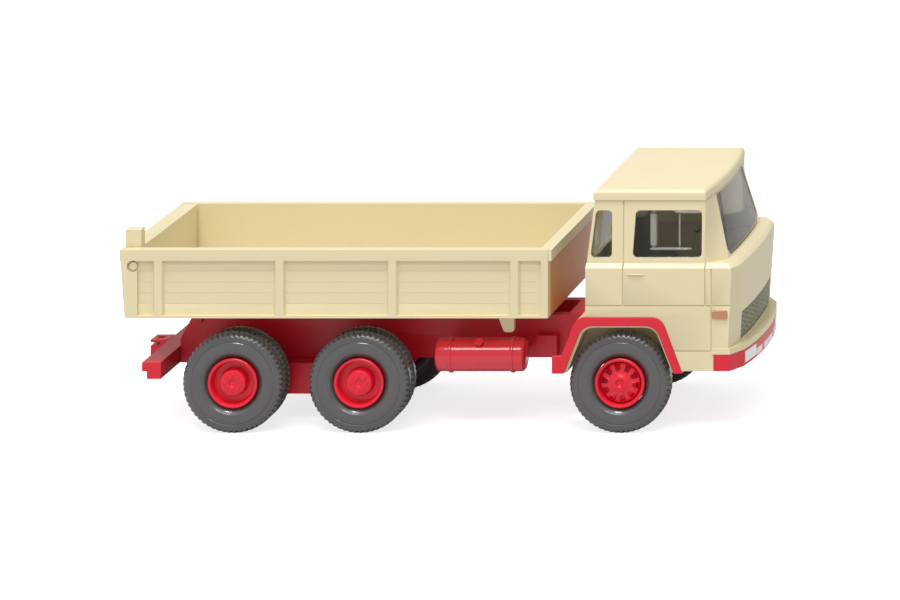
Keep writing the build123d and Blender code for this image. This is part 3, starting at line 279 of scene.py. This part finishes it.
def tyre_ring(shape, axle_x, axle_z, middle, width, radius):
    """Adds one treaded tyre ring about the axle line to a mesh, as a closed loop of profile points."""
    half = width / 2
    # Profile from the outer bead over the tread: (distance from the side face, radius, depth of the notch)
    outer = (
        (0.86, BEAD_R, 0), (0.76, BEAD_R + 0.04, 0), (0.44, BEAD_R + 0.34, 0), (0.12, BEAD_R + 0.66, 0),
        (0.03, BEAD_R + 0.82, 0), (0.00, BEAD_R + 1.10, 0), (0.00, BEAD_R + 1.78, 0),
        (0.02, BEAD_R + 1.92, 0), (0.07, BEAD_R + 1.97, 0), (0.07, BEAD_R + 2.05, 0),
        (0.03, BEAD_R + 2.10, 0), (0.08, radius - 0.78, 0), (0.14, radius - 0.60, 0),
        (0.16, radius - 0.56, 0), (0.25, radius - 0.36, 0.08), (0.40, radius - 0.18, 0.15),
        (0.58, radius - 0.05, 0.17), (0.76, radius, 0.16), (0.90, radius, 0.13), (0.95, radius - 0.01, 0),
    )
    # The far shoulder has its notches where the near one has its blocks
    profile = [(inset - half, r, notch, 0) for inset, r, notch in outer]
    profile += [(half - inset, r, notch, BLOCK_PLACES) for inset, r, notch in reversed(outer)]
    columns = []
    for step in range(PITCHES * len(PITCH_PLACES)):
        pitch, place = divmod(step, len(PITCH_PLACES))
        turn = (pitch + PITCH_PLACES[place]) / PITCHES * math.tau
        ring = []
        for across, r, notch, shift in profile:
            in_notch = (place + shift) % len(PITCH_PLACES) >= BLOCK_PLACES
            reach = (r - notch * in_notch) * MM
            at = (axle_x + reach * math.cos(turn), middle + across * MM, axle_z + reach * math.sin(turn))
            ring.append(shape.verts.new(at))
        columns.append(ring)
    for column, ring in enumerate(columns):
        after = columns[(column + 1) % len(columns)]
        for point in range(len(profile)):
            beside = (point + 1) % len(profile)
            shape.faces.new((ring[point], after[point], after[beside], ring[beside]))


for axle, rings in (("front", 1), ("middle", 2), ("rear", 2)):
    for side in ("right", "left"):
        node = f"{axle}_tyre_{side}"
        low, high = (Vector(corner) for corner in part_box(node))
        axle_x = (low.x + high.x) / 2
        axle_z = (low.z + high.z) / 2
        width = (high.y - low.y - (rings - 1) * TWIN_GAP) / rings
        radius = (high.z - low.z) / 2
        shape = bmesh.new()
        for ring in range(rings):
            middle = low.y + width / 2 + ring * (width + TWIN_GAP)
            tyre_ring(shape, axle_x, axle_z, middle, width / MM, radius / MM)
        piece = finish_mesh(node + "_treaded", shape)
        settle(piece, tyre_rubber, node, smooth=30)
        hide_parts(node)

# Rims and axles: red plastic rims pressed on steel wire axles. The rear rims are deep dishes round a
# hub with a ring of nuts, the front ones are domed discs with a recessed cap and ten vents.
RIM_R = 3.10
SHAFT_CLEARANCE = 0.02
# Profiles: (depth behind the rim's outermost face, radius) in mm
rim_lip = ((0.16, 2.70), (0.05, 2.76), (0.00, 2.85), (0.00, 3.00), (0.07, RIM_R))
rear_face = (
    (0.28, 0), (0.28, 0.42), (0.15, 0.52), (0.15, 1.38), (0.24, 1.54), (0.48, 1.66), (1.28, 1.70),
    (1.36, 1.80), (1.36, 2.48), (1.28, 2.60),
)
front_face = (
    (0.26, 0), (0.26, 0.34), (0.16, 0.46), (0.02, 0.54), (0.00, 0.66), (0.06, 0.84), (0.20, 1.00),
    (0.30, 1.30), (0.38, 1.72), (0.46, 2.24), (0.56, 2.42), (0.72, 2.50), (0.98, 2.53), (1.00, 2.64),
)
VENTS = 10
VENT_ROW = 8                  # the row of faces on the front face that the vents are sunk in
VENT_STEPS = range(3, 9)      # the steps of a vent's share of the turn that are sunk
VENT_DEPTH = 0.32
HUB_NUTS = 8
NUT_RING_R = 0.98
NUT_SIDES = 6
nut_profile = ((0.20, 0.17), (0.04, 0.16), (0.01, 0.10))
rim_red = plastic("rim_red", (0.73, 0.010, 0.030), roughness=0.3, flow_amount=0.25)
axle_steel = plastic("axle_steel", (0.52, 0.52, 0.53), roughness=0.3, flow_amount=0.2)
axle_steel.node_tree.nodes["Principled BSDF"].inputs["Metallic"].default_value = 1.0


def skin_rings(shape, rings):
    """Adds the faces along a row of rings that have as many points each, and closes both ends."""
    for lower, upper in zip(rings, rings[1:]):
        for point in range(len(lower)):
            after = (point + 1) % len(lower)
            shape.faces.new((lower[point], lower[after], upper[after], upper[point]))
    for end in (rings[0], rings[-1]):
        shape.faces.new(end)


def hub_nut(shape, centre, turn, outward):
    """Adds one six-sided nut, turned as its place on the hub is."""
    rings = []
    for depth, radius in nut_profile:
        ring = []
        for corner in range(NUT_SIDES):
            angle = corner / NUT_SIDES * math.tau + turn
            offset = Vector((radius * math.cos(angle), -outward * depth, radius * math.sin(angle)))
            ring.append(shape.verts.new(centre + offset * MM))
        rings.append(ring)
    skin_rings(shape, rings)


for axle, face in (("front", front_face), ("middle", rear_face), ("rear", rear_face)):
    moulding(axle + "_axle", axle_steel, edge=0.05)
    shaft_low, shaft_high = (Vector(corner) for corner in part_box(axle + "_axle"))
    shaft_r = (shaft_high.z - shaft_low.z) / 2 / MM + SHAFT_CLEARANCE
    for side, outward in SIDES:
        node = f"{axle}_rim_{side}"
        low, high = (Vector(corner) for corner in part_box(node))
        middle = (low + high) / 2
        middle.y = low.y if side == "right" else high.y
        shaft_y = shaft_low.y if side == "right" else shaft_high.y
        shaft_end = abs(shaft_y - middle.y) / MM - SHAFT_CLEARANCE
        wide = (high.y - low.y) / MM
        back = ((wide, RIM_R), (wide, shaft_r), (shaft_end, shaft_r), (shaft_end, 0))
        shape = bmesh.new()
        faces = lathe(shape, (*face, *rim_lip, *back), middle, Vector((0, -outward, 0)))
        if axle == "front":
            per_vent = TURN_STEPS // VENTS
            for vent in range(VENTS):
                patch = [faces[VENT_ROW, vent * per_vent + step] for step in VENT_STEPS]
                pushed = bmesh.ops.extrude_face_region(shape, geom=patch)["geom"]
                corners = [item for item in pushed if isinstance(item, bmesh.types.BMVert)]
                bmesh.ops.translate(shape, verts=corners, vec=(0, -outward * VENT_DEPTH * MM, 0))
        else:
            for nut in range(HUB_NUTS):
                turn = nut / HUB_NUTS * math.tau
                centre = middle + Vector((math.cos(turn), 0, math.sin(turn))) * NUT_RING_R * MM
                hub_nut(shape, centre, turn, outward)
        piece = finish_mesh(node + "_turned", shape)
        settle(piece, rim_red, node, smooth=30)
        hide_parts(node)

# Cab: one cream moulding with its roof cap, open at the windows and closed by a panel behind each
# front wheel. Panel and door lines are engraved, the door handles are thin bars standing off the skin.
# The bands over the front wheels are red.
CREAM = (0.735, 0.640, 0.400)
cream_plastic = plastic("cream_plastic", CREAM, roughness=0.38, flow_amount=0.05)
moulding("cab_shell", cream_plastic, edge=0.07)
moulding("cab_roof", cream_plastic, edge=0.1)
for side in ("right", "left"):
    moulding(f"arch_band_{side}", red_plastic)

WELL_Y = (9.05, 9.36)
# Outline of the panel: (distance ahead of the front axle, height) in mm
well_outline = (
    (-7.8, 7.8), (7.8, 7.8), (5.7, 13.4), (5.1, 14.2),
    (4.2, 14.6), (-4.2, 14.6), (-5.1, 14.2), (-5.7, 13.4),
)
hub_low, hub_high = (Vector(corner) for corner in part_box("front_axle"))
hub_x = (hub_low.x + hub_high.x) / 2
for side, sign in SIDES:
    shape = bmesh.new()
    rings = []
    for y in WELL_Y:
        rings.append([shape.verts.new((hub_x + x * MM, sign * y * MM, z * MM)) for x, z in well_outline])
    skin_rings(shape, rings)
    settle(finish_mesh(f"wheel_well_{side}", shape), cream_plastic, "cab_shell")

BAR_STEPS = 12
BAR_SIDES = 8
BAR_END = 0.35      # thickness left at the two ends, as a share


def bowed_bar(shape, start, end, bow, thick, power=4):
    """Adds a round bar that stands off by the bow, with thin ends that a higher power makes shorter."""
    along = (end - start).normalized()
    over = bow.normalized()
    across = along.cross(over)
    rings = []
    for step in range(BAR_STEPS + 1):
        t = step / BAR_STEPS
        lift = 1 - (2 * t - 1) ** power
        centre = start.lerp(end, t) + bow * lift
        radius = thick / 2 * (BAR_END + (1 - BAR_END) * lift)
        ring = []
        for side_step in range(BAR_SIDES):
            turn = side_step / BAR_SIDES * math.tau
            spoke = math.cos(turn) * over + math.sin(turn) * across
            ring.append(shape.verts.new(centre + radius * spoke))
        rings.append(ring)
    skin_rings(shape, rings)


HANDLE_X = (24.0, 26.2)
HANDLE_Z = 20.05
HANDLE_SKIN_Y = 14.0
HANDLE_BOW = 0.14
HANDLE_THICK = 0.22
for side, sign in SIDES:
    rear, front = (Vector((x, sign * HANDLE_SKIN_Y, HANDLE_Z)) * MM for x in HANDLE_X)
    shape = bmesh.new()
    bowed_bar(shape, rear, front, Vector((0, sign * HANDLE_BOW * MM, 0)), HANDLE_THICK * MM)
    settle(finish_mesh(f"door_handle_{side}", shape), cream_plastic, "cab_shell")

# Glazing: one smoke-tinted clear moulding pressed into the cab from inside, with locating ribs behind
# the side windows. The windscreen's pane is tinted darker than the others, as painted shade for the dark
# cab behind it.
for node, tint in (
    ("side_windows", (0.80, 0.78, 0.72, 1)),
    # Painted shade: the windscreen's darker tint stands in for the shaded cab seen through it
    ("windscreen", (0.46, 0.43, 0.36, 1)),
    ("back_windows", (0.85, 0.84, 0.80, 1)),
):
    glazing = bpy.data.materials.new(node + "_glazing")
    glazing.use_nodes = True
    pane = glazing.node_tree.nodes["Principled BSDF"]
    pane.inputs["Base Color"].default_value = tint
    pane.inputs["Roughness"].default_value = 0.05
    pane.inputs["Transmission Weight"].default_value = 1.0
    pane.inputs["IOR"].default_value = 1.3
    moulding(node, glazing, edge=0.05)
RIB_Y = 11.4
RIB_BOW = 0.05
RIB_POWER = 40
# The ribs are real, but their opaque pale bluish colour is a painted glint for light through the clear
# moulding's walls
rib_painted_glint = plastic("rib_painted_glint", (0.70, 0.74, 0.78), grain=0.05, coat=0.5, roughness=0.2, flow_amount=0.3)
for side, sign in SIDES:
    shape = bmesh.new()
    for start, end, thick in (
        ((26.85, 22.9), (26.85, 27.5), 0.9),
        ((30.10, 22.9), (30.10, 27.2), 0.24),
        ((26.40, 22.7), (31.60, 22.7), 0.36),
        ((19.60, 22.8), (19.60, 27.4), 0.8),
    ):
        low, high = (Vector((x, sign * RIB_Y, z)) * MM for x, z in (start, end))
        bowed_bar(shape, low, high, Vector((0, sign * RIB_BOW * MM, 0)), thick * MM, power=RIB_POWER)
    settle(finish_mesh(f"window_ribs_{side}", shape), rib_painted_glint, "side_windows")

# Interior: seats, tunnel and dashboard in one dark brown plastic moulding, seen only through the tinted
# windows. The steering wheel is a piece of its own, pushed in.
interior_plastic = plastic("interior_plastic", (0.10, 0.072, 0.042), roughness=0.5)
for node in ("cab_interior", "steering_wheel"):
    moulding(node, interior_plastic)

# Front end: red bumper with silvered headlamps and orange corner lamps pressed in. The inner lamps and
# the blank number plate are printed on the bumper's face in pale grey.
AHEAD = 10.0      # how far in front of the model the search for a face starts
PRINT_THICK = 0.02
PRINT_COLUMNS = 8
LAMP_PRINT_Y = (3.9, 6.6)
LAMP_PRINT_RISE = (0.12, 0.52)      # shares of the bumper's height
PLATE_HALF = 2.9
PLATE_RISE = (0.10, 0.48)
moulding("front_bumper", red_plastic)


def faces_of(node):
    """Search tree over the faces of a CAD node."""
    solid = bmesh.new()
    solid.from_mesh(frame["nodes"][node].data)
    tree = BVHTree.FromBMesh(solid)
    solid.free()
    return tree


def front_point(tree, y, z):
    """Foremost point of a search tree's faces at a place across and a height."""
    start = Vector((cad_box[1][0] + AHEAD * MM, y, z))
    return tree.ray_cast(start, Vector((-1, 0, 0)))[0]


bumper_face = faces_of("front_bumper")
bumper_low, bumper_high = (Vector(corner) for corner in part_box("front_bumper"))


def printed(shape, y_span, rise_span):
    """Adds a thin print on the bumper's face between two places across and two shares of its height."""
    heights = [bumper_low.z + rise * (bumper_high.z - bumper_low.z) for rise in rise_span]
    proud = Vector((PRINT_THICK * MM, 0, 0))
    rings = []
    for column in range(PRINT_COLUMNS + 1):
        y = (y_span[0] + (y_span[1] - y_span[0]) * column / PRINT_COLUMNS) * MM
        foot, head = (front_point(bumper_face, y, z) for z in heights)
        ring = (foot - proud, foot + proud, head + proud, head - proud)
        rings.append([shape.verts.new(at) for at in ring])
    skin_rings(shape, rings)


shape = bmesh.new()
for sign in (-1, 1):
    printed(shape, sorted(sign * y for y in LAMP_PRINT_Y), LAMP_PRINT_RISE)
printed(shape, (-PLATE_HALF, PLATE_HALF), PLATE_RISE)
pale_print = plastic("pale_print", (0.80, 0.78, 0.76), grain=0.05, roughness=0.3)
settle(finish_mesh("bumper_prints", shape), pale_print, "front_bumper")
lamp_lens = plastic("lamp_lens", (0.82, 0.82, 0.82), coat=0.6, roughness=0.2)
moulding("headlamps", lamp_lens, edge=0.06)
signal_lens = plastic("signal_lens", (0.48, 0.22, 0.10), coat=0.3, roughness=0.25)
moulding("corner_lamps", signal_lens, edge=0.05)

# Grille: a dark olive plate with a border, moulded by itself and set into the nose. A fine diamond mesh
# stands on its face and follows the bow and the rake of the nose.
GRILLE_BORDER = 0.3
BORDER_INSET = 0.1
MESH_PITCH = 1.9
MESH_SLOPE = 0.3
MESH_STEPS = 24
MESH_W = 0.2
MESH_H = 0.1
MESH_ROOT = 0.1
strand_section = ((0.0, -MESH_W / 2), (MESH_H, 0.0), (0.0, MESH_W / 2), (-MESH_ROOT, 0.0))
grille_plastic = plastic("grille_plastic", (0.11, 0.105, 0.065), roughness=0.45)
moulding("grille", grille_plastic, edge=0.03)
grille_face = faces_of("grille")
grille_low, grille_high = (Vector(corner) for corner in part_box("grille"))


def grille_front(y, z):
    """Point of the grille's face, from its lower and upper borders, at a place across and up."""
    heights = (grille_low.z + BORDER_INSET * MM, grille_high.z - BORDER_INSET * MM)
    foot, head = (front_point(grille_face, y, height) for height in heights)
    return foot.lerp(head, (z - foot.z) / (head.z - foot.z))


y_low, y_high = grille_low.y + GRILLE_BORDER * MM, grille_high.y - GRILLE_BORDER * MM
z_low, z_high = grille_low.z + GRILLE_BORDER * MM, grille_high.z - GRILLE_BORDER * MM
run = (z_high - z_low) / MESH_SLOPE      # how far across a strand gets on its way from bottom to top
count = int((y_high - y_low + run) / (MESH_PITCH * MM))
shape = bmesh.new()
for lean in (1, -1):
    first = y_low - run if lean > 0 else y_low
    for strand in range(1, count):
        rings = []
        for step in range(MESH_STEPS + 1):
            t = step / MESH_STEPS
            y = first + strand * MESH_PITCH * MM + lean * run * t
            if y_low <= y <= y_high:
                at = grille_front(y, z_low + (z_high - z_low) * t)
                rings.append([shape.verts.new(at + Vector((x, 0, z)) * MM) for x, z in strand_section])
        if len(rings) > 1:
            skin_rings(shape, rings)
mesh_plastic = plastic("mesh_plastic", (0.36, 0.34, 0.23), roughness=0.4)
settle(finish_mesh("grille_mesh", shape), mesh_plastic, "grille")

# Load bed: a cream floor, two planked sides with posts and a front wall, sides and wall with a rail
# along the top. The front wall's outer face below its rail carries painted shade, a warm brown standing
# in for the shade and warm bounced light in the gap behind the cab.
for node in ("bed_floor", "bed_side_right", "bed_side_left"):
    moulding(node, cream_plastic, edge=0.06)
WALL_RAIL = 1.3
# Painted shade: a warm brown mixed into the wall's colour on its forward faces below the rail, for the gap
# behind the cab
GAP_SHADE_EDGE = 0.1
GAP_SHADE_COLOUR = (0.62, 0.27, 0.06, 1)
wall_plastic = plastic("wall_plastic", CREAM, roughness=0.38, flow_amount=0.05)
nodes, links = wall_plastic.node_tree.nodes, wall_plastic.node_tree.links
facing = nodes.new("ShaderNodeTexCoord")
split = nodes.new("ShaderNodeSeparateXYZ")
links.new(facing.outputs["Normal"], split.inputs["Vector"])
forward = nodes.new("ShaderNodeMapRange")
forward.inputs["From Min"].default_value = 0.8
forward.inputs["From Max"].default_value = 0.95
links.new(split.outputs["X"], forward.inputs["Value"])
place = nodes.new("ShaderNodeSeparateXYZ")
links.new(facing.outputs["Object"], place.inputs["Vector"])
rail_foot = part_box("bed_front_wall")[1][2] - WALL_RAIL * MM
below = nodes.new("ShaderNodeMapRange")
below.inputs["From Min"].default_value = rail_foot
below.inputs["From Max"].default_value = rail_foot - GAP_SHADE_EDGE * MM
links.new(place.outputs["Z"], below.inputs["Value"])
# Mask of the painted shade: faces that look forward, below the rail
gap_shade_mask = nodes.new("ShaderNodeMath")
gap_shade_mask.operation = "MULTIPLY"
links.new(forward.outputs["Result"], gap_shade_mask.inputs[0])
links.new(below.outputs["Result"], gap_shade_mask.inputs[1])
gap_shade_mix = nodes.new("ShaderNodeMix")
gap_shade_mix.data_type = "RGBA"
gap_shade_mix.inputs["B"].default_value = GAP_SHADE_COLOUR
links.new(gap_shade_mask.outputs[0], gap_shade_mix.inputs["Factor"])
skin = next(node for node in nodes if node.type == "GROUP")
links.new(skin.outputs["Colour"], gap_shade_mix.inputs["A"])
links.new(gap_shade_mix.outputs["Result"], nodes["Principled BSDF"].inputs["Base Color"])
moulding("bed_front_wall", wall_plastic, edge=0.06)

# Tailgate: one leaning cream plate with a lug on its top edge. It is moulded with two hinge pins, which
# turn in the bed's sides.
moulding("tailgate", cream_plastic, edge=0.06)

# Studio: a plain floor and a soft surround, both white to the camera and dimmer as light on the model.
# One lamp hangs high above, and a long strip stands on the viewer's side.
REACH = 3.0
FLOOR_GLOW = 0.76
SURROUND_LIGHT = 0.58
LAMP_AIM = Vector((0, 0, 0.01))
floor_mesh = bpy.data.meshes.new("studio_floor")
floor_corners = [(-REACH, -REACH, 0), (REACH, -REACH, 0), (REACH, REACH, 0), (-REACH, REACH, 0)]
floor_mesh.from_pydata(floor_corners, [], [(0, 1, 2, 3)])
floor = bpy.data.objects.new("studio_floor", floor_mesh)
bpy.context.collection.objects.link(floor)
floor_white = bpy.data.materials.new("floor_white")
floor_white.use_nodes = True
nodes, links = floor_white.node_tree.nodes, floor_white.node_tree.links
sheet = nodes["Principled BSDF"]
sheet.inputs["Base Color"].default_value = (0.60, 0.60, 0.60, 1)
sheet.inputs["Roughness"].default_value = 0.9
sheet.inputs["Specular IOR Level"].default_value = 0.0
seen = nodes.new("ShaderNodeLightPath")
lift = nodes.new("ShaderNodeMath")
lift.operation = "MULTIPLY"
lift.inputs[1].default_value = FLOOR_GLOW
links.new(seen.outputs["Is Camera Ray"], lift.inputs[0])
sheet.inputs["Emission Color"].default_value = (1, 1, 1, 1)
links.new(lift.outputs[0], sheet.inputs["Emission Strength"])
floor_mesh.materials.append(floor_white)
world = bpy.data.worlds.new("studio_surround")
bpy.context.scene.world = world
world.use_nodes = True
nodes, links = world.node_tree.nodes, world.node_tree.links
seen = nodes.new("ShaderNodeLightPath")
direct = nodes.new("ShaderNodeMath")
direct.operation = "MAXIMUM"
links.new(seen.outputs["Is Camera Ray"], direct.inputs[0])
links.new(seen.outputs["Is Transmission Ray"], direct.inputs[1])
level = nodes.new("ShaderNodeMapRange")
level.inputs["To Min"].default_value = SURROUND_LIGHT
level.inputs["To Max"].default_value = 1.0
links.new(direct.outputs[0], level.inputs["Value"])
links.new(level.outputs["Result"], nodes["Background"].inputs["Strength"])
nodes["Background"].inputs["Color"].default_value = (1, 1, 1, 1)
for name, at, size, watts in (
    ("key_lamp", (-0.08, -0.22, 0.88), (0.25, 0.25), 5.2),
    ("strip_lamp", (0.04, -0.52, 0.62), (0.5, 0.15), 1.9),
):
    lamp = bpy.data.objects.new(name, bpy.data.lights.new(name, "AREA"))
    bpy.context.collection.objects.link(lamp)
    lamp.data.shape = "RECTANGLE"
    lamp.data.size, lamp.data.size_y = size
    lamp.data.energy = watts
    lamp.location = at
    lamp.rotation_euler = (LAMP_AIM - Vector(at)).to_track_quat("-Z", "Y").to_euler()

# Camera: an oblique view, as a product shot taken square to the side with the back of the camera
# kept parallel to it, so lengths and heights on the side stay true and depth runs up to the right.
EYE = Vector((169.883, -729.48, 181.472)) * MM
AIM = Vector((2.026, -14.3, 16.931)) * MM
back = (EYE - AIM).normalized()
stand = bpy.data.objects.new("camera_stand", None)
bpy.context.collection.objects.link(stand)
camera = bpy.data.objects.new("camera", bpy.data.cameras.new("camera"))
bpy.context.collection.objects.link(camera)
camera.parent = stand
# The third column leans the view's axis back to the eye, which shears the camera instead of turning it
camera.matrix_parent_inverse = Matrix(
    ((1, 0, back.x, EYE.x), (0, 0, back.y, EYE.y), (0, 1, back.z, EYE.z), (0, 0, 0, 1))
)
camera.data.lens = 241.8
camera.data.clip_start = 0.05
camera.data.clip_end = 20
bpy.context.scene.camera = camera
bpy.context.scene.view_settings.view_transform = "Standard"
